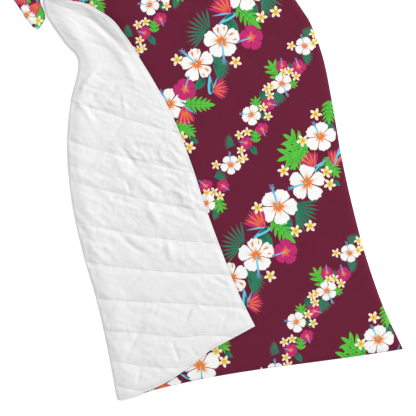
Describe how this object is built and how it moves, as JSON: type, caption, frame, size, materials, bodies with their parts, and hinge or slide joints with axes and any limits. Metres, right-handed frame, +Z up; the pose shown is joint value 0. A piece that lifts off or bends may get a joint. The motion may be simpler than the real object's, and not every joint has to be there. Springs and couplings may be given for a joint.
{
  "type": "printed quilt",
  "caption": "Floral printed quilt lying face up and narrowing to its head, with one long corner folded over to show the white diamond-quilted back.",
  "frame": {"origin": "centre of the quilt's box on the surface it lies on", "axes": "+Z up out of the printed face, +Y up the quilt from its lower hem to its head, +X towards its right hem"},
  "size_m": [1.391, 1.8056, 0.0303],
  "materials": {
    "printed_front": "smooth brushed polyester, printed with garlands of flowers",
    "quilted_back": "plain white brushed polyester, quilted in diamonds"
  },
  "bodies": {
    "root": {"printed_front": "printed_front", "quilted_back": "quilted_back"}
  },
  "joints": []
}
